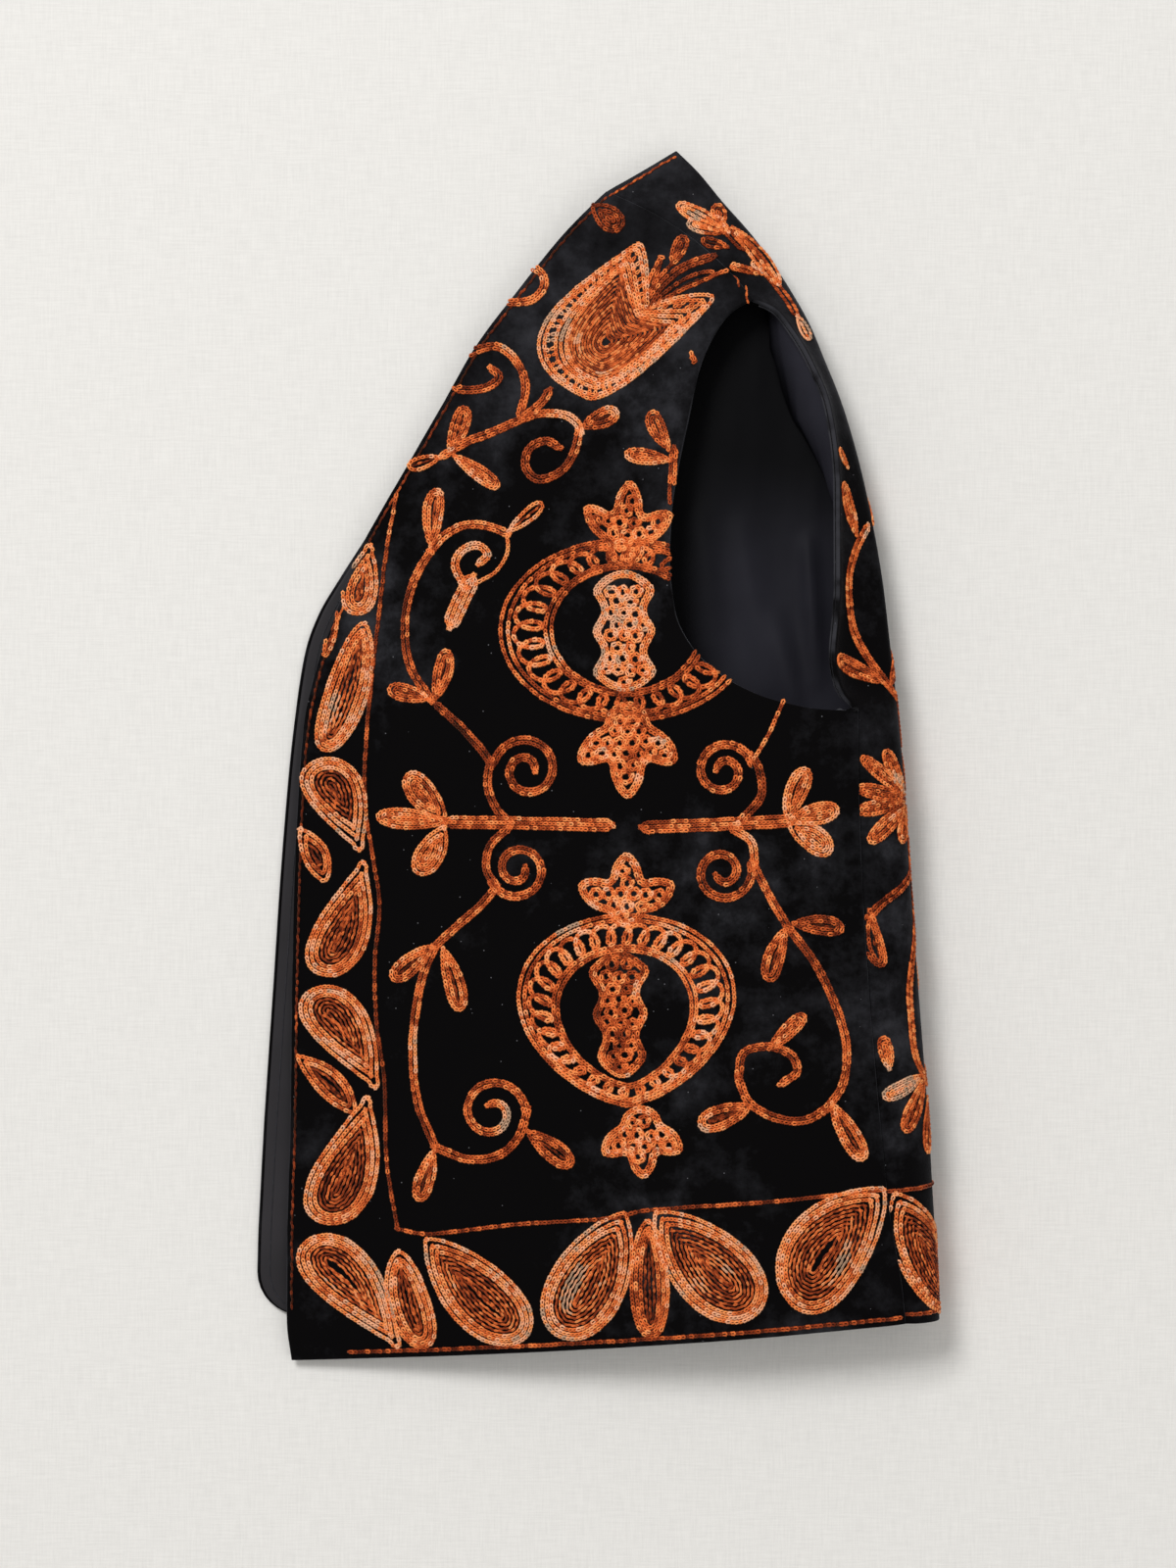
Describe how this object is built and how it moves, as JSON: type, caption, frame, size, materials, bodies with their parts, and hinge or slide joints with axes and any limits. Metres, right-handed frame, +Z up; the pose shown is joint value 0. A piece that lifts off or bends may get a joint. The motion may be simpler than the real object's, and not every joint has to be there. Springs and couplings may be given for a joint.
{
  "type": "waistcoat",
  "caption": "Sleeveless velvet waistcoat with slanted neck edges and chain-stitch flower scrolls, laid on its side and folded with a front uppermost.",
  "frame": {"origin": "bottom centre of the folded garment's bounding box, on the surface it lies on", "axes": "+X towards the side seam and the rolled fold, +Y towards the neck, +Z up out of the surface it lies on"},
  "size_m": [0.3456, 0.614, 0.044],
  "materials": {
    "velvet": "black cotton velvet, short nap with a cool sheen",
    "lining": "blue-black satin lining",
    "thread": "variegated orange embroidery thread in chain stitch"
  },
  "bodies": {
    "root": {"left_front": "velvet", "back": "velvet", "armhole_facing": "velvet", "right_front": "velvet", "back_lining": "lining", "right_front_lining": "lining", "folded_back": "lining"}
  },
  "joints": []
}
